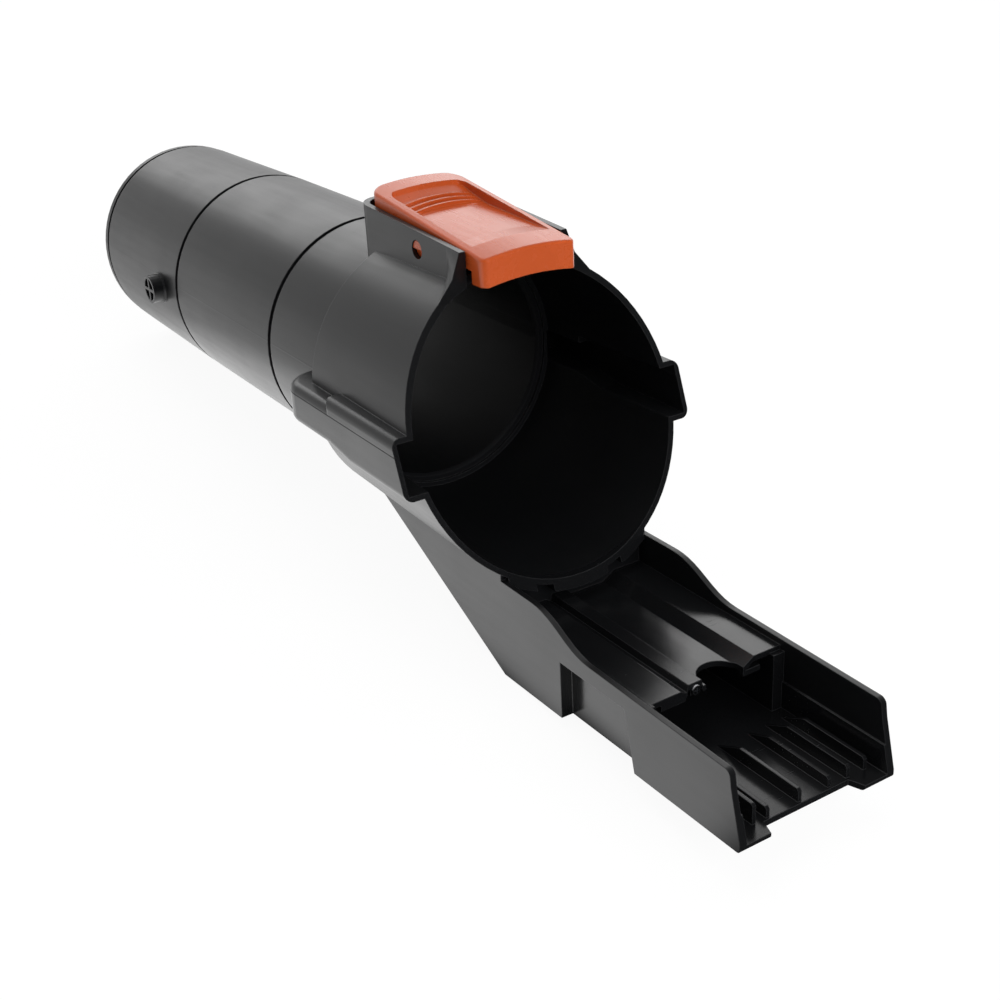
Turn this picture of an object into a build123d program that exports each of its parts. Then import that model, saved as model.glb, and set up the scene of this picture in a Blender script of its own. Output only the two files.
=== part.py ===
from build123d import *
import os
from math import atan, cos, degrees, sin, sqrt

# Straight tube along +Y, from the mouth's centre at the origin to the far end
TUBE_RADIUS = 56.0
TUBE_WALL = 2.8
TUBE_LENGTH = 384.7
TUBE_END_TAPER = 1.0
END_RING_LENGTH = 5.0
END_RING_DROP = 0.3
END_BEVEL = 1.2
END_GROOVE_WIDTH = 3.0
GROOVE_WIDTH = 3.2
GROOVE_DEPTH = 1.3
GROOVE_PLACES = (149.7, 267.4)

# Hollow locating stud on each side, near the far end
STUD_PLACE = 293.0
STUD_RADIUS = 7.6
STUD_REACH = 6.2
STUD_WALL = 1.5
STUD_WEB = 1.5
STUD_COLLAR = 0.9
STUD_COLLAR_REACH = 0.4
STUD_WELL_FLOOR = 0.5

# Conical socket and its oblique mouth
MOUTH_RADIUS = 62.0
SOCKET_REAR_RADIUS = 59.0
SOCKET_REAR_OUTSIDE = 63.0
SOCKET_WALL = 2.6
SOCKET_DEPTH = 84.0
SOCKET_REAR_WALL = 6.9
SHOULDER_BEVEL = 1.2
LEDGE_WIDTH = 2.2
LEDGE_DEPTH = 1.5
MOUTH_SLOPE = 0.354

# Channel along each side of the socket, for the mating neck's lugs, shallower at the rear
LOBE_REACH = 71.4
LOBE_ROOT = 50.0
LOBE_WALL = 2.1
LOBE_FRONT_TOP = 8.6
LOBE_FRONT_BOTTOM = -15.8
LOBE_FRONT_LENGTH = 62.0
LOBE_RISE_START = 42.0
LOBE_REAR_TOP = 5.4
LOBE_REAR_BOTTOM = -12.8
LOBE_LENGTH = 107.0
LOBE_CORNER_INSET = 0.6
LOBE_EDGE = 4.0

# Ears that carry the latch, joined behind it, and flared into the mouth's rim
EAR_GAP = 46.2
EAR_WALL = 2.8
EAR_FRONT = 18.5
EAR_FRONT_TOP = 71.6
EAR_SLOPE = 0.0626
EAR_REAR = 105.0
EAR_CORNER = 10.0
EAR_FOOT = 45.0
FLARE_LENGTH = 10.0
FLARE_WAIST = (29.8, 61.2)
FLARE_FOOT = (38.0, 51.4)
FLARE_END = (26.4, 57.0)
PIVOT_Y = 52.6
PIVOT_Z = 65.7
PIVOT_HOLE_RADIUS = 4.0

# Tray in front of and under the socket
TRAY_WIDTH = 74.2
TRAY_WALL = 2.5
TRAY_FRONT = -165.0
TRAY_TOE = -99.9
TRAY_HEEL = -101.4
TRAY_HEEL_PLACE = -17.0
WALL_TOP_REAR = -56.4
WALL_TOP_FRONT = -68.6
WALL_STEP_REAR = -39.0
WALL_STEP_FRONT = -78.0
WALL_TOP_RISE = 1.0
WALL_CORNER = 3.0
WALL_LEDGE_TOP = -86.0
WALL_LEDGE_WIDTH = 0.7
FRONT_LEAN = 6.1
FRONT_BEND = -75.8
BEND_SETBACK = 1.1
TOE_HEIGHT = 3.5
TOE_EDGE = 1.6
GUSSET_SLOPE = 0.4995
TAB_INNER = 22.7
TAB_LENGTH = 6.4
TAB_TAPER = 2.2

# Clip pocket in each of the tray's sides
POCKET_DEPTH = 5.5
POCKET_REAR = -58.5
POCKET_FRONT = -106.0
POCKET_LEAN = 6.0
POCKET_TOP = -75.0

# Raised platform across the tray
PLATFORM_FRONT = -106.0
PLATFORM_REAR = -14.0
PLATFORM_SKIN = 2.4
LEDGE_INNER = 15.0
LEDGE_LEFT_TOP = -73.0
LEDGE_RIGHT_INNER = 21.0
LEDGE_RIGHT_TOP = -70.6
RAIL_LEFT = -11.4
RAIL_RIGHT = -5.0
RAIL_TOP = -71.3
RAIL_DRAFT = 0.8
TROUGH_FLOOR = -74.4
APRON_BOTTOM = -78.0
APRON_INNER = 12.7
APRON_OUTER = 24.3
NOTCH_CENTRE = 6.5
NOTCH_RADIUS = 9.3
NOTCH_SETBACK = 2.6

# Collar and bulkhead that close the tray under the mouth
COLLAR_RADIUS = 67.8
COLLAR_DEPTH = 9.0
COLLAR_TOP = -49.6
COLLAR_SLOTS = ((-22.5, -14.5), (13.0, 20.5))
BULKHEAD_WALL = 2.5

# Stiffening ribs on the tray floor, each an x place and a height
FLOOR_RIBS = ((-24.2, 8.6), (-17.7, 4.4), (-2.5, 5.4), (12.0, 4.4), (21.2, 5.4), (29.8, 5.4))
RIB_WALL = 1.6
RIB_FRONT = -157.6
RIB_REAR = -112.0
RIB_RUN_OUT = 14.0
RIB_BEVEL = 1.0

# Orange latch, a rocker with moulded pivot stubs
LATCH_WIDTH = 45.0
LATCH_WALL = 2.2
LATCH_FRONT = 6.5
LATCH_REAR = 99.3
LATCH_CORNER = 8.0
LATCH_FRONT_CORNER = 3.5
LATCH_CROWN = 1.9
LATCH_TOP = 70.0
LATCH_SLOPE = 0.134
LATCH_EDGE = 1.3
LATCH_SIDE_BOTTOM = 64.2
LATCH_SIDE_RISE = 2.2
RECESS_LINE = (
    (14.0, 73.7),
    (29.0, 73.7),
    (68.0, 75.7),
    (82.0, 78.8),
    (87.0, 80.8),
    (90.0, 86.5),
)
LATCH_NOSE_LENGTH = 9.0
LATCH_NOSE_BOTTOM = 58.7
NOSE_ARCH = 1.7
RECESS_MARGIN = 3.7
RECESS_CORNER = 8.0
THUMB_RIB_PLACES = (71.0, 75.0, 79.0)
THUMB_RIB_WIDTH = 1.5
THUMB_RIB_HEIGHT = 1.4
THUMB_RIB_INSET = 2.0
THUMB_RIB_ROOT = 0.6
STUB_RADIUS = 3.94
STUB_SHORT = 0.5
STUB_BEVEL = 2.0
STUB_BEVEL_TOP = 1.2

# Return spring under the thumb end
SPRING_PLACE = 84.0
SPRING_RADIUS = 3.6
SPRING_WIRE = 0.9
SPRING_TURNS = 4
SPRING_CEILING = 73.4
SPRING_PAD_RADIUS = 5.0
SPRING_SEAT = 64.6
SEAT_RADIUS = 5.6
SEAT_DEPTH = 7.0
SPRING_POST_RADIUS = 2.4
SPRING_POST_HEIGHT = 3.0
SPRING_PAD_GAP = 0.1

# Small screw in the front end of the left rail
SCREW_HEAD_RADIUS = 2.1
SCREW_HEAD_HEIGHT = 1.4
SCREW_SHANK_RADIUS = 1.2
SCREW_SHANK_LENGTH = 7.0
SCREW_RECESS = 0.8
SCREW_SLOT_LENGTH = 2.4
SCREW_SLOT_WIDTH = 0.6
SCREW_DROP = 0.4
SCREW_BOSS_WALL = 1.0
SCREW_CLEARANCE = 0.05

END_RING_RADIUS = TUBE_RADIUS - TUBE_END_TAPER - END_RING_DROP
SOCKET_REAR = SOCKET_DEPTH + SOCKET_REAR_WALL
LOBE_REAR_CORNER = LOBE_REACH - TUBE_RADIUS + LOBE_CORNER_INSET
TRAY_HALF = TRAY_WIDTH / 2
TRAY_INSIDE = TRAY_HALF - TRAY_WALL
LATCH_HALF = LATCH_WIDTH / 2
EAR_INSIDE = EAR_GAP / 2
EAR_OUTSIDE = EAR_INSIDE + EAR_WALL
FAR = 3 * MOUTH_RADIUS
OVERCUT = 1.0


def side_solid(outline, half_width):
    """Outline drawn as (y, z), carried the same distance to both sides."""
    return extrude(Plane.YZ * make_face(outline), amount=half_width, both=True)


def side_polygon(points, half_width):
    return side_solid(Polyline(*points, close=True), half_width)


def block(x0, x1, y0, y1, z0, z1):
    centre = ((x0 + x1) / 2, (y0 + y1) / 2, (z0 + z1) / 2)
    return Pos(*centre) * Box(abs(x1 - x0), abs(y1 - y0), abs(z1 - z0))


def across(x, y, z, radius, length):
    """Cylinder along X, centred on a point."""
    return Pos(x, y, z) * Rot(0, 90, 0) * Cylinder(radius, length)


def turned(stations):
    """Solid turned about the tube's axis, from (y, radius) stations."""
    points = [(0, stations[0][0])] + [(r, y) for y, r in stations] + [(0, stations[-1][0])]
    return revolve(make_face(Polyline(*points, close=True)), Axis.Y)


def socket_radius(y):
    """Inside of the socket, which narrows from the mouth to its shoulder."""
    return MOUTH_RADIUS - (MOUTH_RADIUS - SOCKET_REAR_RADIUS) * y / SOCKET_DEPTH


def ahead_of_mouth():
    """The space ahead of the oblique mouth plane."""
    top = (FAR * MOUTH_SLOPE, FAR)
    bottom = (-FAR * MOUTH_SLOPE, -FAR)
    return side_polygon([bottom, top, (-FAR, FAR), (-FAR, -FAR)], FAR)


def tube_outside():
    end_radius = TUBE_RADIUS - TUBE_END_TAPER
    ring = TUBE_LENGTH - END_RING_LENGTH
    groove = ring - END_GROOVE_WIDTH
    tube = turned([
        (SOCKET_DEPTH / 2, TUBE_RADIUS),
        (GROOVE_PLACES[-1], TUBE_RADIUS),
        (groove, end_radius),
        (groove, end_radius - GROOVE_DEPTH),
        (ring, end_radius - GROOVE_DEPTH),
        (ring, END_RING_RADIUS),
        (TUBE_LENGTH - END_BEVEL, END_RING_RADIUS),
        (TUBE_LENGTH, END_RING_RADIUS - END_BEVEL),
    ])
    for place in GROOVE_PLACES:
        floor = TUBE_RADIUS - GROOVE_DEPTH
        groove = Pos(0, place, 0) * Rot(90, 0, 0) * Cylinder(TUBE_RADIUS + OVERCUT, GROOVE_WIDTH)
        core = Pos(0, place, 0) * Rot(90, 0, 0) * Cylinder(floor, GROOVE_WIDTH)
        tube -= groove - core
    return tube


def socket_outside():
    front = -MOUTH_SLOPE * FAR
    at_mouth = MOUTH_RADIUS + SOCKET_WALL
    narrowing = (at_mouth - SOCKET_REAR_OUTSIDE) / SOCKET_REAR
    return turned([
        (front, at_mouth - narrowing * front),
        (SOCKET_REAR - SHOULDER_BEVEL, SOCKET_REAR_OUTSIDE),
        (SOCKET_REAR, SOCKET_REAR_OUTSIDE - SHOULDER_BEVEL),
    ])


def bore():
    """The air way: socket, shoulder and tube."""
    front = -MOUTH_SLOPE * FAR
    inside = TUBE_RADIUS - TUBE_WALL
    return turned([
        (front, socket_radius(front)),
        (SOCKET_DEPTH, SOCKET_REAR_RADIUS),
        (SOCKET_DEPTH, SOCKET_REAR_RADIUS - LEDGE_WIDTH),
        (SOCKET_DEPTH + LEDGE_DEPTH, SOCKET_REAR_RADIUS - LEDGE_WIDTH),
        (SOCKET_DEPTH + LEDGE_DEPTH, inside + SHOULDER_BEVEL),
        (SOCKET_DEPTH + LEDGE_DEPTH + SHOULDER_BEVEL, inside),
        (TUBE_LENGTH + OVERCUT, inside),
    ])


def lobe(side, wall):
    """Channel beside the socket, or with a wall taken off, the space in it."""
    front = -MOUTH_SLOPE * FAR
    reach = LOBE_REACH - wall
    length = LOBE_FRONT_LENGTH - wall
    low = LOBE_REAR_BOTTOM + wall
    high = LOBE_REAR_TOP - wall
    deep_low = LOBE_FRONT_BOTTOM + wall
    deep_high = LOBE_FRONT_TOP - wall
    outline = [(front, deep_low), (LOBE_RISE_START, deep_low), (length, low)]
    outline += [(length, deep_high), (front, deep_high)]
    deep = side_polygon(outline, reach) - block(-FAR, LOBE_ROOT, -FAR, FAR, -FAR, FAR)
    back = LOBE_LENGTH - wall
    shallow = block(LOBE_ROOT, reach, front, back, low, high)
    corner = shallow.edges().filter_by(Axis.Z).sort_by_distance((reach, back, 0))[0]
    shallow = fillet([corner], LOBE_REAR_CORNER - wall)
    if wall:
        shallow -= block(LOBE_ROOT, TUBE_RADIUS + wall, SOCKET_DEPTH, back, low, high)
    else:
        outer = deep.edges().group_by(Axis.X)[-1].sort_by(Axis.Y)[1:]
        deep = fillet(outer, LOBE_EDGE)
        along = shallow.edges().filter_by(Axis.Y).group_by(Axis.X)[-1]
        shallow = fillet(along, LOBE_EDGE)
    channel = deep + shallow
    return channel if side > 0 else mirror(channel, about=Plane.YZ)


def ear_plan(half_width, rear, corner):
    """Outline of the ears seen from above, rounded at the rear."""
    middle = (EAR_FRONT + rear) / 2
    plan = Pos(0, middle, EAR_FOOT) * Rectangle(2 * half_width, rear - EAR_FRONT)
    return fillet(plan.vertices().group_by(Axis.Y)[-1], corner)


def ears():
    """Plates beside the latch with a wall behind it, cut to the sloping top."""
    height = FAR - EAR_FOOT
    walls = extrude(ear_plan(EAR_OUTSIDE, EAR_REAR, EAR_CORNER), amount=height)
    walls -= extrude(ear_plan(EAR_INSIDE, EAR_REAR - EAR_WALL, EAR_CORNER - EAR_WALL), amount=height)
    walls -= block(-EAR_INSIDE, EAR_INSIDE, 0, EAR_FRONT + EAR_WALL, EAR_FOOT, FAR)
    walls += flare(-1) + flare(1)
    rear_top = EAR_FRONT_TOP + EAR_SLOPE * (EAR_REAR - EAR_FRONT)
    below_top = [(EAR_FRONT, 0), (EAR_FRONT, EAR_FRONT_TOP), (EAR_REAR, rear_top), (EAR_REAR, 0)]
    return walls & side_polygon(below_top, FAR)


def flare(side):
    """Thickening of an ear towards the mouth, where it leans over to the rim."""
    inside = side * EAR_INSIDE
    outside = side * EAR_OUTSIDE
    end = EAR_FRONT + FLARE_LENGTH
    front = Polyline(
        (outside, EAR_FRONT, EAR_FRONT_TOP),
        (side * FLARE_WAIST[0], EAR_FRONT, FLARE_WAIST[1]),
        (side * FLARE_FOOT[0], EAR_FRONT, FLARE_FOOT[1]),
        (inside, EAR_FRONT, FLARE_FOOT[1]),
        (inside, EAR_FRONT, EAR_FRONT_TOP),
        close=True,
    )
    rear = Polyline(
        (outside, end, EAR_FRONT_TOP),
        (outside, end, (EAR_FRONT_TOP + FLARE_END[1]) / 2),
        (side * FLARE_END[0], end, FLARE_END[1]),
        (inside, end, FLARE_END[1]),
        (inside, end, EAR_FRONT_TOP),
        close=True,
    )
    return loft([make_face(rear), make_face(front)], ruled=True)


def stud(side):
    """Hollow boss with a cross web, standing out of the tube's side."""
    root = TUBE_RADIUS - TUBE_WALL / 2
    tip = TUBE_RADIUS + STUD_REACH
    boss = across(side * (root + tip) / 2, STUD_PLACE, 0, STUD_RADIUS, tip - root)
    floor = TUBE_RADIUS - STUD_WELL_FLOOR
    depth = tip - floor
    well_middle = side * (floor + tip) / 2
    well = across(well_middle, STUD_PLACE, 0, STUD_RADIUS - STUD_WALL, depth)
    span = 2 * STUD_RADIUS - STUD_WALL
    cross = Pos(well_middle, STUD_PLACE, 0) * (Box(depth, span, STUD_WEB) + Box(depth, STUD_WEB, span))
    collar_tip = TUBE_RADIUS + STUD_COLLAR_REACH
    collar_middle = side * (root + collar_tip) / 2
    collar = across(collar_middle, STUD_PLACE, 0, STUD_RADIUS + STUD_COLLAR, collar_tip - root)
    return collar + boss - well + cross


def bottom_z(y):
    """Underside of the tray, which rises a little towards the front."""
    return TRAY_HEEL + (TRAY_TOE - TRAY_HEEL) * (TRAY_HEEL_PLACE - y) / (TRAY_HEEL_PLACE - TRAY_FRONT)


def gusset_z(y):
    """Underside of the gusset, from the tray's heel up to the socket."""
    return TRAY_HEEL + GUSSET_SLOPE * (y - TRAY_HEEL_PLACE)


def tray_outside():
    wall_front = TRAY_FRONT + FRONT_LEAN
    step_front = (WALL_STEP_FRONT, WALL_TOP_FRONT + WALL_TOP_RISE)
    step_rear = (WALL_STEP_REAR, WALL_TOP_REAR)
    under_mouth = (MOUTH_SLOPE * WALL_TOP_REAR + TRAY_WALL, WALL_TOP_REAR)
    top = Line((wall_front, WALL_TOP_FRONT), step_front)
    top += Spline(step_front, step_rear, tangents=((1, 0.02), (1, 0)))
    top += Polyline(
        step_rear,
        under_mouth,
        (under_mouth[0], -MOUTH_RADIUS / 2),
        (SOCKET_DEPTH, -MOUTH_RADIUS / 2),
        (SOCKET_DEPTH, gusset_z(SOCKET_DEPTH)),
        (TRAY_HEEL_PLACE, TRAY_HEEL),
        (TRAY_FRONT, TRAY_TOE),
        (TRAY_FRONT, TRAY_TOE + TOE_HEIGHT),
        (wall_front - BEND_SETBACK, FRONT_BEND),
        (wall_front, WALL_TOP_FRONT),
    )
    tray = side_solid(top, TRAY_HALF)
    corner = tray.edges().filter_by(Axis.X).sort_by_distance((0, wall_front, WALL_TOP_FRONT))[0]
    tray = fillet([corner], WALL_CORNER)
    toe = tray.edges().filter_by(Axis.X).sort_by_distance((0, TRAY_FRONT, TRAY_TOE))[0]
    return fillet([toe], TOE_EDGE)


def tray_inside():
    """The space between the walls, over the floor and inside the gusset."""
    slope_shift = TRAY_WALL * sqrt(1 + GUSSET_SLOPE**2)
    heel_shift = (slope_shift - TRAY_WALL) / GUSSET_SLOPE
    heel = TRAY_HEEL_PLACE - heel_shift
    back = SOCKET_DEPTH - TRAY_WALL
    room = side_polygon(
        [
            (TRAY_FRONT - OVERCUT, 0),
            (TRAY_FRONT - OVERCUT, bottom_z(TRAY_FRONT) + TRAY_WALL),
            (heel, bottom_z(heel) + TRAY_WALL),
            (back, gusset_z(back) + slope_shift),
            (back, 0),
        ],
        TRAY_INSIDE,
    )
    for side in (-1, 1):
        room -= block(
            side * (TRAY_HALF - POCKET_DEPTH - TRAY_WALL),
            side * TRAY_HALF,
            POCKET_FRONT - TRAY_WALL,
            POCKET_REAR + TRAY_WALL,
            2 * TRAY_HEEL,
            POCKET_TOP + TRAY_WALL,
        )
        room -= block(
            side * (TRAY_INSIDE - WALL_LEDGE_WIDTH),
            side * TRAY_HALF,
            2 * TRAY_FRONT,
            PLATFORM_FRONT,
            2 * TRAY_HEEL,
            WALL_LEDGE_TOP,
        )
    return room


def clip_pocket(side):
    """Recess in the outside of the tray's wall, open at the bottom."""
    low = 2 * TRAY_HEEL
    inner = TRAY_HALF - POCKET_DEPTH
    corner = (POCKET_FRONT + POCKET_LEAN, POCKET_TOP)
    outline = [(POCKET_REAR, low), (POCKET_REAR, POCKET_TOP), corner]
    outline += [(POCKET_FRONT, TRAY_HEEL), (POCKET_FRONT, low)]
    half = (POCKET_DEPTH + OVERCUT) / 2
    return Pos(side * (inner + half), 0, 0) * side_polygon(outline, half)


def front_notch():
    """The floor stands back between the two front tabs."""
    back = TRAY_FRONT + TAB_LENGTH
    corners = [
        (-TAB_INNER, TRAY_FRONT),
        (-TAB_INNER + TAB_TAPER, back),
        (TAB_INNER - TAB_TAPER, back),
        (TAB_INNER, TRAY_FRONT),
        (TAB_INNER, TRAY_FRONT - OVERCUT),
        (-TAB_INNER, TRAY_FRONT - OVERCUT),
    ]
    floor = Pos(0, 0, TRAY_HEEL - OVERCUT) * make_face(Polyline(*corners, close=True))
    return extrude(floor, amount=TRAY_TOE - TRAY_HEEL + TRAY_WALL + 2 * OVERCUT)


def platform():
    """Corrugated plate across the tray, with a rail and a trough."""
    top = [
        (-TRAY_INSIDE, LEDGE_LEFT_TOP),
        (-LEDGE_INNER, LEDGE_LEFT_TOP),
        (RAIL_LEFT - RAIL_DRAFT, TROUGH_FLOOR),
        (RAIL_LEFT, RAIL_TOP),
        (RAIL_RIGHT, RAIL_TOP),
        (RAIL_RIGHT + RAIL_DRAFT, TROUGH_FLOOR),
        (LEDGE_INNER, TROUGH_FLOOR),
        (LEDGE_RIGHT_INNER, LEDGE_RIGHT_TOP),
        (TRAY_INSIDE, LEDGE_RIGHT_TOP),
    ]
    under = [(x, z - PLATFORM_SKIN) for x, z in reversed(top)]
    section = make_face(Polyline(*top, *under, close=True))
    length = PLATFORM_REAR - PLATFORM_FRONT
    plate = extrude(Pos(0, PLATFORM_REAR, 0) * (Plane.XZ * section), amount=length)
    for side, high in ((-1, LEDGE_LEFT_TOP), (1, LEDGE_RIGHT_TOP)):
        apron_top = high - PLATFORM_SKIN / 2
        if side > 0:
            apron_top = TROUGH_FLOOR - PLATFORM_SKIN / 2
        plate += block(
            side * APRON_INNER,
            side * APRON_OUTER,
            PLATFORM_FRONT,
            PLATFORM_FRONT + PLATFORM_SKIN,
            APRON_BOTTOM,
            apron_top,
        )
    rail_middle = (RAIL_LEFT + RAIL_RIGHT) / 2
    screw_z = RAIL_TOP - PLATFORM_SKIN - SCREW_DROP
    boss_half = SCREW_SHANK_RADIUS + SCREW_BOSS_WALL
    plate += block(
        rail_middle - boss_half,
        rail_middle + boss_half,
        PLATFORM_FRONT,
        PLATFORM_FRONT + SCREW_SHANK_LENGTH + SCREW_BOSS_WALL,
        screw_z - boss_half,
        RAIL_TOP - PLATFORM_SKIN / 2,
    )
    notch_y = PLATFORM_FRONT + NOTCH_SETBACK
    notch = Pos(NOTCH_CENTRE, notch_y, TROUGH_FLOOR) * Cylinder(NOTCH_RADIUS, 4 * PLATFORM_SKIN)
    notch += block(
        NOTCH_CENTRE - NOTCH_RADIUS,
        NOTCH_CENTRE + NOTCH_RADIUS,
        PLATFORM_FRONT - OVERCUT,
        notch_y,
        TROUGH_FLOOR - 2 * PLATFORM_SKIN,
        TROUGH_FLOOR + 2 * PLATFORM_SKIN,
    )
    return plate - notch


def collar():
    """Thicker lip under the mouth, with two slots."""
    low = -COLLAR_RADIUS - OVERCUT
    front = -MOUTH_SLOPE * COLLAR_RADIUS - OVERCUT
    ring = Pos(0, front + COLLAR_DEPTH, 0) * Rot(90, 0, 0) * Cylinder(COLLAR_RADIUS, 2 * COLLAR_DEPTH)
    lip = ring & block(-TRAY_INSIDE, TRAY_INSIDE, -FAR, FAR, low, COLLAR_TOP)
    for left, right in COLLAR_SLOTS:
        lip -= block(left, right, -FAR, front + COLLAR_DEPTH, low, COLLAR_TOP)
    return lip


def bulkhead():
    """Wall that closes the tray under the socket, above the platform's rear edge."""
    low = TROUGH_FLOOR - PLATFORM_SKIN / 2
    return block(-TRAY_INSIDE, TRAY_INSIDE, PLATFORM_REAR - BULKHEAD_WALL, PLATFORM_REAR, low, COLLAR_TOP)


def floor_rib(x, height):
    """Thin rib on the tray floor, whose rear end runs out to nothing."""
    foot = bottom_z(RIB_FRONT) + TRAY_WALL / 2
    top = bottom_z(RIB_FRONT) + TRAY_WALL + height
    outline = [(RIB_FRONT, foot), (RIB_FRONT, top - RIB_BEVEL), (RIB_FRONT + RIB_BEVEL, top)]
    outline += [(RIB_REAR - RIB_RUN_OUT, top), (RIB_REAR, foot)]
    return Pos(x, 0, 0) * side_polygon(outline, RIB_WALL / 2)


def spring_seat():
    """Flat pad on the socket with a post that the spring stands on."""
    pad = Cylinder(SEAT_RADIUS, SEAT_DEPTH)
    post = Cylinder(SPRING_POST_RADIUS, SPRING_POST_HEIGHT)
    pad = Pos(0, SPRING_PLACE, SPRING_SEAT - SEAT_DEPTH / 2) * pad
    return pad + Pos(0, SPRING_PLACE, SPRING_SEAT + SPRING_POST_HEIGHT / 2) * post


def tube_housing():
    neck = tube_outside() + socket_outside() + collar()
    tray = tray_outside() - tray_inside() + platform() + bulkhead() - front_notch()
    for side in (-1, 1):
        neck += lobe(side, 0.0) + stud(side)
        tray -= clip_pocket(side)
    for x, height in FLOOR_RIBS:
        tray += floor_rib(x, height)
    body = neck - ahead_of_mouth() + ears() + spring_seat() + tray
    body -= bore() + lobe(-1, LOBE_WALL) + lobe(1, LOBE_WALL)
    body -= across(0, PIVOT_Y, PIVOT_Z, PIVOT_HOLE_RADIUS, 4 * EAR_OUTSIDE)
    return body - screw_space(SCREW_CLEARANCE)


def latch_body():
    """Outer form of the latch, arched across, sloping up to the thumb end."""
    nose_end = LATCH_FRONT + LATCH_NOSE_LENGTH
    outline = [
        (LATCH_FRONT, LATCH_NOSE_BOTTOM),
        (nose_end, LATCH_NOSE_BOTTOM),
        (nose_end, LATCH_SIDE_BOTTOM),
        (LATCH_REAR, LATCH_SIDE_BOTTOM + LATCH_SIDE_RISE),
        (LATCH_REAR, FAR),
        (LATCH_FRONT, FAR),
    ]
    middle = (LATCH_FRONT + LATCH_REAR) / 2
    plan = Pos(0, middle, 0) * Rectangle(LATCH_WIDTH, LATCH_REAR - LATCH_FRONT)
    plan = fillet(plan.vertices().group_by(Axis.Y)[-1], LATCH_CORNER)
    plan = fillet(plan.vertices().group_by(Axis.Y)[0], LATCH_FRONT_CORNER)
    solid = side_polygon(outline, LATCH_HALF) & extrude(plan, amount=FAR)
    lean = atan(LATCH_SLOPE)
    radius = (LATCH_HALF**2 + LATCH_CROWN**2) / (2 * LATCH_CROWN)
    centre = (0, LATCH_FRONT + radius * sin(lean), LATCH_TOP + LATCH_CROWN - radius * cos(lean))
    solid &= Pos(*centre) * Rot(degrees(lean) - 90, 0, 0) * Cylinder(radius, 2 * FAR)
    arch_radius = ((LATCH_HALF - LATCH_WALL) ** 2 + NOSE_ARCH**2) / (2 * NOSE_ARCH)
    arch = Pos(0, 0, LATCH_NOSE_BOTTOM + NOSE_ARCH - arch_radius) * Rot(90, 0, 0) * Cylinder(arch_radius, FAR)
    solid -= arch
    top = solid.faces().sort_by(Axis.Z)[-1]
    return fillet(top.edges(), LATCH_EDGE)


def latch():
    """Rocker with a thumb recess, grip ribs, pivot stubs and a pad for the spring."""
    solid = latch_body() - latch_recess()
    solid -= latch_hollow()
    for y in THUMB_RIB_PLACES:
        solid += thumb_rib(y)
    for side in (-1, 1):
        solid += pivot_stub(side)
    return solid + spring_pad()


def recess_floor(y):
    """Height of the recess's floor along the latch's middle line."""
    points = RECESS_LINE
    for (y0, z0), (y1, z1) in zip(points, points[1:]):
        if y <= y1:
            return z0 + (z1 - z0) * (y - y0) / (y1 - y0)
    return points[-1][1]


def crowned(profile, half_width, rise):
    """Solid over a (y, z) line, arched across the latch."""
    sections = []
    for y, z in profile:
        high = 2 * z
        low = z - rise
        outline = Polyline((half_width, low), (half_width, high), (-half_width, high), (-half_width, low))
        outline += ThreePointArc((-half_width, low), (0, z), (half_width, low))
        sections.append(Pos(0, y, 0) * (Plane.XZ * make_face(outline)))
    return loft(sections, ruled=True)


def latch_recess():
    """Thumb recess, deepest at the ribs, with rounded corners."""
    half = LATCH_HALF - RECESS_MARGIN
    front, rear = RECESS_LINE[0][0], RECESS_LINE[-1][0]
    plan = Pos(0, (front + rear) / 2, 0) * Rectangle(2 * half, rear - front)
    plan = fillet(plan.vertices(), RECESS_CORNER)
    return crowned(RECESS_LINE, half, LATCH_CROWN * (half / LATCH_HALF) ** 2) & extrude(plan, amount=FAR)


def latch_hollow():
    """Space under the latch's skin, open below."""
    half = LATCH_HALF - LATCH_WALL
    roof = [(y, recess_floor(y) - LATCH_CROWN - LATCH_WALL) for y, _ in RECESS_LINE]
    front = LATCH_FRONT + LATCH_WALL
    back = LATCH_REAR - LATCH_WALL
    outline = [(front, 0), (front, roof[0][1])] + roof[1:-1] + [(back, roof[-2][1]), (back, 0)]
    return side_polygon(outline, half)


def thumb_rib(y):
    """Grip rib across the recess, arched like its floor."""
    half = LATCH_HALF - RECESS_MARGIN - THUMB_RIB_INSET
    foot = recess_floor(y) - LATCH_CROWN
    low = foot - THUMB_RIB_ROOT
    high = foot + THUMB_RIB_HEIGHT
    outline = Polyline((half, high), (half, low), (-half, low), (-half, high))
    outline += ThreePointArc((-half, high), (0, high + LATCH_CROWN), (half, high))
    face = Pos(0, y + THUMB_RIB_WIDTH / 2, 0) * (Plane.XZ * make_face(outline))
    return extrude(face, amount=THUMB_RIB_WIDTH)


def pivot_stub(side):
    """Round stub for the ear's hole, bevelled below so that it snaps in."""
    root = LATCH_HALF - LATCH_WALL / 2
    tip = EAR_OUTSIDE - STUB_SHORT
    stub = across(side * (root + tip) / 2, PIVOT_Y, PIVOT_Z, STUB_RADIUS, tip - root)
    reach = STUB_RADIUS + OVERCUT
    low = PIVOT_Z - reach
    wedge = make_face(
        Polyline(
            (side * (tip + OVERCUT), PIVOT_Z),
            (side * (tip + OVERCUT), low),
            (side * (tip - STUB_BEVEL), low),
            (side * (tip - STUB_BEVEL_TOP), PIVOT_Z),
            close=True,
        )
    )
    return stub - extrude(Pos(0, PIVOT_Y + reach, 0) * (Plane.XZ * wedge), amount=2 * reach)


def spring_pad():
    """Flat boss under the thumb end that the spring pushes on."""
    high = recess_floor(SPRING_PLACE) - LATCH_CROWN - LATCH_WALL / 2
    pad = Cylinder(SPRING_PAD_RADIUS, high - SPRING_CEILING)
    return Pos(0, SPRING_PLACE, (SPRING_CEILING + high) / 2) * pad


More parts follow.
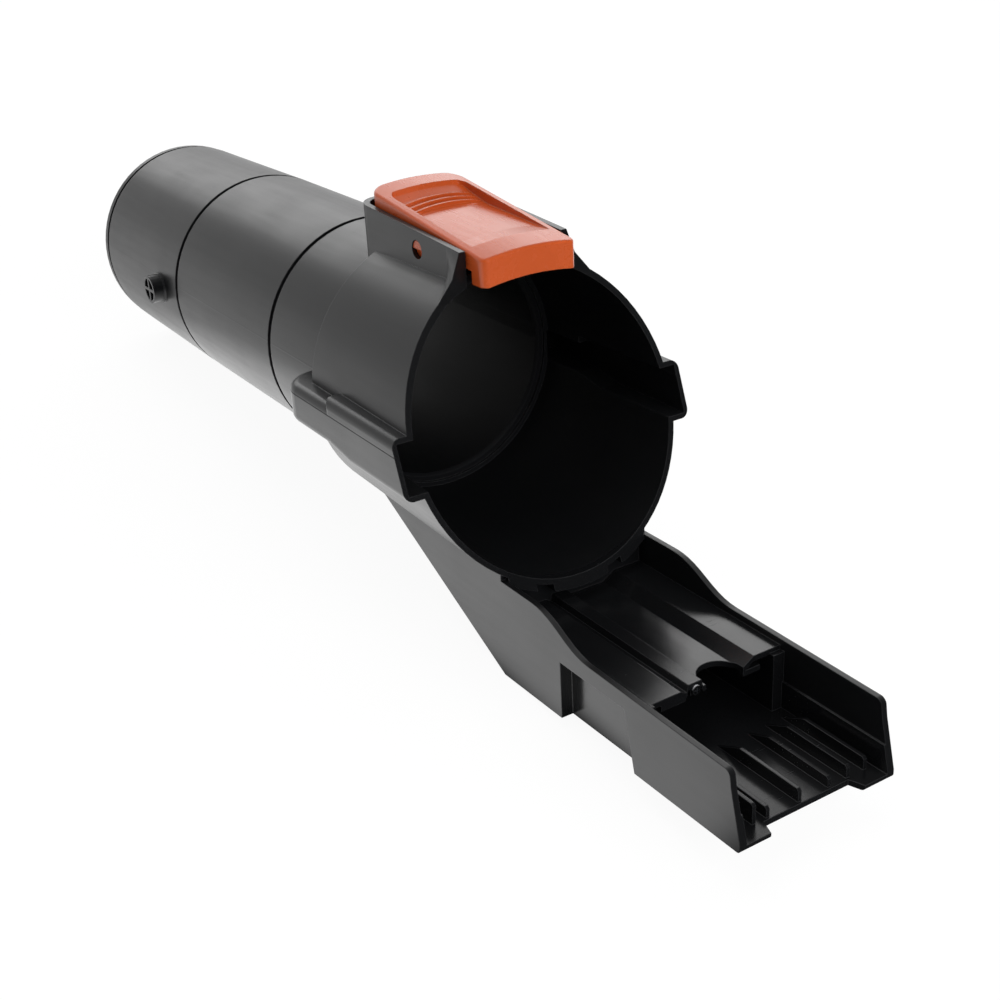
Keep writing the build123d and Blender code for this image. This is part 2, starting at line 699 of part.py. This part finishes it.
def latch_spring():
    coil_height = SPRING_CEILING - SPRING_SEAT - SPRING_PAD_GAP - SPRING_WIRE
    path = Helix(coil_height / SPRING_TURNS, coil_height, SPRING_RADIUS)
    start = path @ 0
    section = Plane(origin=start, z_dir=path % 0) * Circle(SPRING_WIRE / 2)
    coil = sweep(section, path=path, is_frenet=True)
    return Pos(0, SPRING_PLACE, SPRING_SEAT + SPRING_WIRE / 2 + SPRING_PAD_GAP / 2) * coil


def screw_axis():
    """Where the screw's axis crosses the platform's front edge, as x and z."""
    return (RAIL_LEFT + RAIL_RIGHT) / 2, RAIL_TOP - PLATFORM_SKIN - SCREW_DROP


def screw_space(clearance):
    """The screw's shank, or with a clearance, the hole for it."""
    x, z = screw_axis()
    depth = SCREW_SHANK_LENGTH + clearance
    hole = Cylinder(SCREW_SHANK_RADIUS + clearance, depth)
    return Pos(x, PLATFORM_FRONT + depth / 2, z) * Rot(90, 0, 0) * hole


def rail_screw():
    x, z = screw_axis()
    shank = screw_space(0)
    head = Cylinder(SCREW_HEAD_RADIUS, SCREW_HEAD_HEIGHT)
    head = Pos(x, PLATFORM_FRONT - SCREW_HEAD_HEIGHT / 2, z) * Rot(90, 0, 0) * head
    rim = head.edges().filter_by(GeomType.CIRCLE).sort_by(Axis.Y)[0]
    head = fillet([rim], SCREW_HEAD_HEIGHT / 3)
    slot = Box(SCREW_SLOT_LENGTH, SCREW_RECESS * 2, SCREW_SLOT_WIDTH)
    slot += Box(SCREW_SLOT_WIDTH, SCREW_RECESS * 2, SCREW_SLOT_LENGTH)
    return shank + head - Pos(x, PLATFORM_FRONT - SCREW_HEAD_HEIGHT, z) * slot


def resting(pieces):
    """Tip the part back on to its heel and the tube's far end, and centre it."""
    run = TUBE_LENGTH - END_BEVEL - TRAY_HEEL_PLACE
    tilt = degrees(atan((-TRAY_HEEL - END_RING_RADIUS) / run))
    tipped = {name: Rot(-tilt, 0, 0) * piece for name, piece in pieces.items()}
    boxes = [piece.bounding_box() for piece in tipped.values()]
    front = min(box.min.Y for box in boxes)
    back = max(box.max.Y for box in boxes)
    floor = min(box.min.Z for box in boxes)
    shift = Pos(0, -(front + back) / 2, -floor)
    return {name: shift * piece for name, piece in tipped.items()}, tilt, shift


pieces = {
    "tube_housing": tube_housing(),
    "latch": latch(),
    "latch_spring": latch_spring(),
    "rail_screw": rail_screw(),
}
placed, tilt, shift = resting(pieces)
os.makedirs("parts", exist_ok=True)
for name, piece in placed.items():
    export_step(piece, f"parts/{name}.step")
pivot = (shift * Rot(-tilt, 0, 0) * Pos(0, PIVOT_Y, PIVOT_Z)).position
print("tilt", tilt, "pivot", pivot, "origin shift", shift.position)
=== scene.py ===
import math

import bpy
from mathutils import Euler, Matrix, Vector

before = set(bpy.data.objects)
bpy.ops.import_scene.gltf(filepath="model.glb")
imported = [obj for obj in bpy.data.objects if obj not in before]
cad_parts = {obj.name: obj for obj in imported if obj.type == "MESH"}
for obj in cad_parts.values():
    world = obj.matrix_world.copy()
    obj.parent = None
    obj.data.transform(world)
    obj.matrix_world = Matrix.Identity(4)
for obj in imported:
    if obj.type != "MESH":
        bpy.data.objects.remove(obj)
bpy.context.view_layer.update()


# Camera.
# It stands in front and to the left of the part and looks down into the mouth, with the
# latch on top. Its place was worked out from the tube's outlines, grooves and mouth.

# In metres, and in degrees about X, Y and Z.
CAMERA_PLACE = (-0.3117, -0.544454, 0.381977)
CAMERA_TURN = (59.00493, -0.76525, -32.99746)

scene = bpy.context.scene
scene.view_settings.view_transform = "Standard"

lens = bpy.data.cameras.new("camera")
lens.sensor_width = 36.0
lens.lens = 52.80
camera = bpy.data.objects.new("camera", lens)
camera.location = CAMERA_PLACE
camera.rotation_euler = Euler([math.radians(angle) for angle in CAMERA_TURN])
scene.collection.objects.link(camera)
scene.camera = camera


# White floor.
# A flat sheet of matt white paper under the part. The camera sees it nearly pure white, with
# a faint shadow. In the part's gloss it shows a painted glow, bright beside the tray and towards the
# back only.

FLOOR_REACH = 9.0
WHITE = (1.0, 1.0, 1.0, 1.0)
PAPER = (0.86, 0.86, 0.86, 1.0)

# The camera sees this share of plain white, and the rest is lit paper with its shadow.
SEEN_COVER = 0.90
SEEN_BRIGHTNESS = 1.04

# The gloss shows a dark floor with a painted glow on it, brighter in patches, most of all near the
# part.
DARK_REFLECTION = 0.03
PAINTED_BRIGHT_REFLECTION = 0.90
PAINTED_CLOSE_REFLECTION = 0.75

# Each pair is where a soft edge starts and ends, in metres.
LEFT_OF_TRAY = (0.033, 0.046)
BESIDE_TRAY_TOE = (-0.275, -0.245)
TOWARDS_BACK = (-0.15, 0.15)
FAR_FROM_PART = (0.22, 0.36)


class Shade:
    """A socket of a material or the room, so that sums on it read as sums and add nodes."""

    def __init__(self, tree, socket=None):
        self.tree = tree
        self.socket = socket

    def node(self, kind, inputs=None, output=0, **settings):
        """Adds any node: its settings first, then the values or links of its sockets."""
        made = self.tree.nodes.new(kind)
        for name, value in settings.items():
            setattr(made, name, value)
        for name, value in (inputs or {}).items():
            socket = made.inputs[name]
            if isinstance(value, Shade):
                self.tree.links.new(value.socket, socket)
            else:
                socket.default_value = value
        return Shade(self.tree, made.outputs[output] if made.outputs else None)

    def math(self, operation, first, second=0.0):
        return self.node("ShaderNodeMath", {0: first, 1: second}, operation=operation)

    def __add__(self, other):
        return self.math("ADD", self, other)

    __radd__ = __add__

    def __sub__(self, other):
        return self.math("SUBTRACT", self, other)

    def __rsub__(self, other):
        return self.math("SUBTRACT", other, self)

    def __mul__(self, other):
        return self.math("MULTIPLY", self, other)

    __rmul__ = __mul__

    def __abs__(self):
        return self.math("ABSOLUTE", self)

    def rise(self, start, end):
        """0 below start and 1 above end, with a smooth step between them."""
        span = {"Value": self, "From Min": start, "From Max": end}
        return self.node("ShaderNodeMapRange", span, interpolation_type="SMOOTHSTEP")

    def axis(self, letter):
        """One coordinate of a place or a direction."""
        return self.node("ShaderNodeSeparateXYZ", {0: self}, output=letter)

    def ray(self, kind):
        """1 for this kind of ray and 0 for the others."""
        return self.node("ShaderNodeLightPath", output=f"Is {kind} Ray")


def empty_tree(owner):
    """Clears the nodes of a material or a world, and returns where new ones start."""
    owner.use_nodes = True
    owner.node_tree.nodes.clear()
    return Shade(owner.node_tree)


white_sweep = bpy.data.materials.new("white_sweep")
start = empty_tree(white_sweep)
paper = start.node("ShaderNodeBsdfPrincipled", {"Base Color": PAPER, "Roughness": 0.9})
floor_place = start.node("ShaderNodeNewGeometry", output="Position")
floor_x = floor_place.axis("X")
floor_y = floor_place.axis("Y")
# Painted reflection: for glossy rays only, patches of the floor glow beside the tray and towards the
# back.
beside_tray = (0.0 - floor_x).rise(*LEFT_OF_TRAY) * floor_y.rise(*BESIDE_TRAY_TOE)
painted_bright_floor = start.math("MAXIMUM", beside_tray, floor_y.rise(*TOWARDS_BACK))
painted_close_floor = 1.0 - (floor_y - floor_x).rise(*FAR_FROM_PART)
seen = start.ray("Camera") + start.ray("Transmission")
mirrored = start.ray("Glossy")
# Painted reflection: the floor's brightness in the gloss is a painted glow, not lamp light on the
# paper.
reflection = DARK_REFLECTION + painted_bright_floor * (PAINTED_BRIGHT_REFLECTION + painted_close_floor * PAINTED_CLOSE_REFLECTION)
brightness = seen * SEEN_BRIGHTNESS + mirrored * reflection
white = start.node("ShaderNodeEmission", {"Color": WHITE, "Strength": brightness})
cover = seen * SEEN_COVER + mirrored
covered = start.node("ShaderNodeMixShader", {0: cover, 1: paper, 2: white})
start.node("ShaderNodeOutputMaterial", {"Surface": covered})

corner_signs = ((-1, -1), (1, -1), (1, 1), (-1, 1))
corners = [(FLOOR_REACH * x, FLOOR_REACH * y, 0.0) for x, y in corner_signs]
sweep_mesh = bpy.data.meshes.new("sweep")
sweep_mesh.from_pydata(corners, [], [(0, 1, 2, 3)])
sweep = bpy.data.objects.new("sweep", sweep_mesh)
sweep.data.materials.append(white_sweep)
scene.collection.objects.link(sweep)


# Room and lamps.
# The room is pale behind the part and dark in front of it. The softbox behind shows in the
# gloss, and the two others, above and in front, only light the part.

# Each pair is where the brightening starts and ends, on a direction that runs from -1 to 1.
FRONT_TO_BACK = (-0.50, 0.70)
LEVEL_TO_CEILING = (0.4, 1.0)
FRONT_GLOW = 0.025
BACK_GLOW = 0.66
CEILING_GLOW = 0.12
LAMP_AIM = (0.0, -0.05, 0.08)

room = bpy.data.worlds.new("studio")
scene.world = room
start = empty_tree(room)
toward = start.node("ShaderNodeTexCoord", output="Generated")
from_back = toward.axis("Y").rise(*FRONT_TO_BACK) * BACK_GLOW
from_ceiling = toward.axis("Z").rise(*LEVEL_TO_CEILING) * CEILING_GLOW
glow = from_back + FRONT_GLOW + from_ceiling
seen = start.ray("Camera") + start.ray("Transmission")
strength = start.math("MAXIMUM", glow, seen)
backdrop = start.node("ShaderNodeBackground", {"Color": WHITE, "Strength": strength})
start.node("ShaderNodeOutputWorld", {"Surface": backdrop})

for name, place, width, height, power, shows_in_gloss in (
    ("softbox_back", (0.72, 1.40, 0.74), 2.1, 0.66, 8.0, True),
    ("softbox_top", (-0.2, 0.3, 1.9), 1.3, 1.3, 6.0, False),
    ("fill_front", (0.1, -1.7, 0.9), 1.5, 1.5, 27.0, False),
):
    light = bpy.data.lights.new(name, "AREA")
    light.shape = "RECTANGLE"
    light.size = width
    light.size_y = height
    light.energy = power
    lamp = bpy.data.objects.new(name, light)
    lamp.visible_glossy = shows_in_gloss
    lamp.location = place
    aim = Vector(LAMP_AIM) - Vector(place)
    lamp.rotation_euler = aim.to_track_quat("-Z", "Y").to_euler()
    scene.collection.objects.link(lamp)


# Tube, socket, ears and tray.
# One injection moulding in black polypropylene, with a satin grain outside. The mould's
# parting line shows as a fine seam along both sides of the tube and of the side channels.

CHARCOAL = (0.0066, 0.0069, 0.0076)
# The lighter charcoal on the edges is partly wear and partly a painted highlight.
WORN_AND_HIGHLIT_CHARCOAL = (0.045, 0.046, 0.049)

# The tube's own directions start at the mouth's centre and are tipped with the part.
MOUTH_CENTRE = (0.0, -0.10651, 0.0987487)
TILT = math.radians(6.650896532)
MILLIMETRE = 0.001

# Sizes along them are in millimetres, and each pair is where a soft edge starts and ends.
SOCKET_LENGTH = 90.9
SEAM_FADE = 2.0
TUBE_FLANK = (40.0, 48.0)
TUBE_SEAM_HEIGHT = 6.4
TUBE_SEAM_EDGE = (0.12, 0.45)
CHANNEL_FLANK = (68.0, 69.0)
CHANNEL_SEAM_HEIGHT = 1.9
CHANNEL_SEAM_EDGE = (0.10, 0.38)
TRAY_WALL = (34.2, 34.8)
TRAY_END = -16.5
TRAY_FADE = 4.0

# The noises run from 0 to 1, and scratches and scuffed patches start and are full at these.
NOISE_MIDDLE = 0.5
SCRATCH_SHOWS = (0.70, 0.78)
SCUFFED_CLOUD = (0.50, 0.62)

# An edge is lightened in full, as wear and as a painted highlight, where its rounded and flat
# normals agree less than the first of these, and not at all where they agree more than the second.
NORMALS_AGREE = (0.80, 0.995)

# How much each mark lightens the colour, changes the gloss and stands in the relief.
EDGE_WEAR_AND_HIGHLIGHT = 0.55
SCUFF_PALENESS = 0.25
CLOUD_GLOSS = 0.10
FLOW_GLOSS = 0.10
SCUFF_GLOSS = 0.12
EDGE_GLOSS = 0.08
CHANNEL_SEAM_GLOSS = 0.4
TRAY_GLOSS = 0.14
SPECK_RELIEF = 0.5
FLOW_RELIEF = 0.35
SCUFF_RELIEF = 0.6
TUBE_SEAM_RELIEF = 2.2
CHANNEL_SEAM_RELIEF = 5.0


def seams_and_tray(place):
    """Where the seam runs on the tube and on the side channels, and the tray's inside."""
    across = abs(place.axis("X"))
    along = place.axis("Y")
    up = place.axis("Z")
    past_socket = along.rise(SOCKET_LENGTH, SOCKET_LENGTH + SEAM_FADE)
    tube_line = 1.0 - abs(up - TUBE_SEAM_HEIGHT).rise(*TUBE_SEAM_EDGE)
    channel_line = 1.0 - abs(up - CHANNEL_SEAM_HEIGHT).rise(*CHANNEL_SEAM_EDGE)
    before_mouth = 1.0 - along.rise(TRAY_END - TRAY_FADE, TRAY_END)
    on_tube = past_socket * tube_line * across.rise(*TUBE_FLANK)
    on_channel = across.rise(*CHANNEL_FLANK) * channel_line
    in_tray = (1.0 - across.rise(*TRAY_WALL)) * before_mouth
    return on_tube, on_channel, in_tray


def moulded(name, colour, edge_colour, roughness, edge_radius, grain, seams):
    """Injection-moulded plastic: rounded edges paler from wear and a painted highlight, cloudy
    gloss, fine grain, faint scuffs.
    """
    material = bpy.data.materials.new(name)
    start = empty_tree(material)
    tube_directions = {
        "Vector": start.node("ShaderNodeTexCoord", output="Object"),
        "Location": MOUTH_CENTRE,
        "Rotation": (-TILT, 0.0, 0.0),
        "Scale": (MILLIMETRE, MILLIMETRE, MILLIMETRE),
    }
    place = start.node("ShaderNodeMapping", tube_directions, vector_type="TEXTURE")

    cloud = start.node("ShaderNodeTexNoise", {"Vector": place, "Scale": 0.035, "Detail": 3.0})
    stretched = start.node("ShaderNodeMapping", {"Vector": place, "Scale": (1.0, 0.06, 1.0)})
    flow = start.node("ShaderNodeTexNoise", {"Vector": stretched, "Scale": 0.30, "Detail": 4.0})
    specks = start.node("ShaderNodeTexNoise", {"Vector": place, "Scale": 2.2, "Detail": 2.0})
    turned = start.node(
        "ShaderNodeMapping",
        {"Vector": place, "Rotation": (0.3, 0.5, 0.9), "Scale": (0.05, 1.0, 1.0)},
    )
    scratches = start.node("ShaderNodeTexNoise", {"Vector": turned, "Scale": 1.4, "Detail": 1.0})
    scuffs = scratches.rise(*SCRATCH_SHOWS) * cloud.rise(*SCUFFED_CLOUD)

    rounded = start.node("ShaderNodeBevel", {"Radius": edge_radius}, samples=6)
    flat = start.node("ShaderNodeNewGeometry", output="Normal")
    normals = {0: rounded, 1: flat}
    agreement = start.node("ShaderNodeVectorMath", normals, output="Value", operation="DOT_PRODUCT")
    edge = 1.0 - agreement.rise(*NORMALS_AGREE)

    # The mix node's sockets for colours are 6 and 7 going in, and 2 coming out.
    # Edges get the paler colour, partly as wear and partly as a painted highlight.
    two_tones = {"Factor": edge * EDGE_WEAR_AND_HIGHLIGHT, 6: (*colour, 1.0), 7: (*edge_colour, 1.0)}
    tone = start.node("ShaderNodeMix", two_tones, output=2, data_type="RGBA")
    cloudy = start.node("ShaderNodeMapRange", {"Value": cloud, "To Min": 0.90, "To Max": 1.10})
    shading = cloudy + scuffs * SCUFF_PALENESS
    tinted = start.node("ShaderNodeVectorMath", {0: tone, "Scale": shading}, operation="SCALE")

    gloss = roughness + (cloud - NOISE_MIDDLE) * CLOUD_GLOSS + (flow - NOISE_MIDDLE) * FLOW_GLOSS
    gloss = gloss + scuffs * SCUFF_GLOSS - edge * EDGE_GLOSS
    relief = specks * SPECK_RELIEF + flow * FLOW_RELIEF - scuffs * SCUFF_RELIEF
    if seams:
        on_tube, on_channel, in_tray = seams_and_tray(place)
        gloss = gloss + on_channel * CHANNEL_SEAM_GLOSS - in_tray * TRAY_GLOSS
        relief = relief + on_tube * TUBE_SEAM_RELIEF - on_channel * CHANNEL_SEAM_RELIEF
    bumped = start.node(
        "ShaderNodeBump",
        {"Strength": 0.35, "Distance": grain, "Height": relief, "Normal": rounded},
    )
    skin = start.node(
        "ShaderNodeBsdfPrincipled",
        {"Base Color": tinted, "Roughness": gloss, "Normal": bumped, "IOR": 1.49},
    )
    start.node("ShaderNodeOutputMaterial", {"Surface": skin})
    return material


def dress(node, finish):
    """Gives a CAD piece its one finish."""
    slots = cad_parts[node].data.materials
    slots.clear()
    slots.append(finish)


black_plastic = moulded(
    "black_polypropylene",
    CHARCOAL,
    WORN_AND_HIGHLIT_CHARCOAL,
    roughness=0.34,
    edge_radius=0.0006,
    grain=0.00005,
    seams=True,
)
dress("tube_housing", black_plastic)


# Thumb latch.
# A glossy orange rocker moulded in one piece, with a thumb recess and three grip ribs.
# Its two side stubs snap into the holes in the ears.

ORANGE = (0.56, 0.088, 0.017)
# The paler orange on the edges is partly wear and partly a painted highlight.
PALE_ORANGE = (0.66, 0.16, 0.055)

orange_plastic = moulded(
    "orange_plastic",
    ORANGE,
    PALE_ORANGE,
    roughness=0.27,
    edge_radius=0.0007,
    grain=0.000005,
    seams=False,
)
dress("latch", orange_plastic)


# Return spring and rail screw.
# The spring is coiled from drawn wire and stands on a post under the thumb end. The
# screw is small and zinc plated, and closes the front end of the platform's rail.

SPRING_STEEL = (0.52, 0.52, 0.54)
ZINC = (0.74, 0.75, 0.78)
DULL_GLOSS = 0.2


def metal(name, colour, roughness, streak_scale):
    """Bare or plated steel with fine drawing or turning marks and faint dulling."""
    material = bpy.data.materials.new(name)
    start = empty_tree(material)
    where = start.node("ShaderNodeTexCoord", output="Object")
    marks = start.node("ShaderNodeTexNoise", {"Vector": where, "Scale": streak_scale, "Detail": 3.0})
    dull = start.node("ShaderNodeTexNoise", {"Vector": where, "Scale": 400.0, "Detail": 2.0})
    shading = start.node("ShaderNodeMapRange", {"Value": dull, "To Min": 0.8, "To Max": 1.1})
    tinted = start.node("ShaderNodeVectorMath", {0: colour, "Scale": shading}, operation="SCALE")
    gloss = roughness + (dull - NOISE_MIDDLE) * DULL_GLOSS
    bumped = start.node("ShaderNodeBump", {"Strength": 0.2, "Distance": 0.00003, "Height": marks})
    skin = start.node(
        "ShaderNodeBsdfPrincipled",
        {"Base Color": tinted, "Roughness": gloss, "Normal": bumped, "Metallic": 1.0},
    )
    start.node("ShaderNodeOutputMaterial", {"Surface": skin})
    return material


dress("latch_spring", metal("spring_wire", SPRING_STEEL, roughness=0.30, streak_scale=2500.0))
dress("rail_screw", metal("zinc_plate", ZINC, roughness=0.24, streak_scale=4000.0))
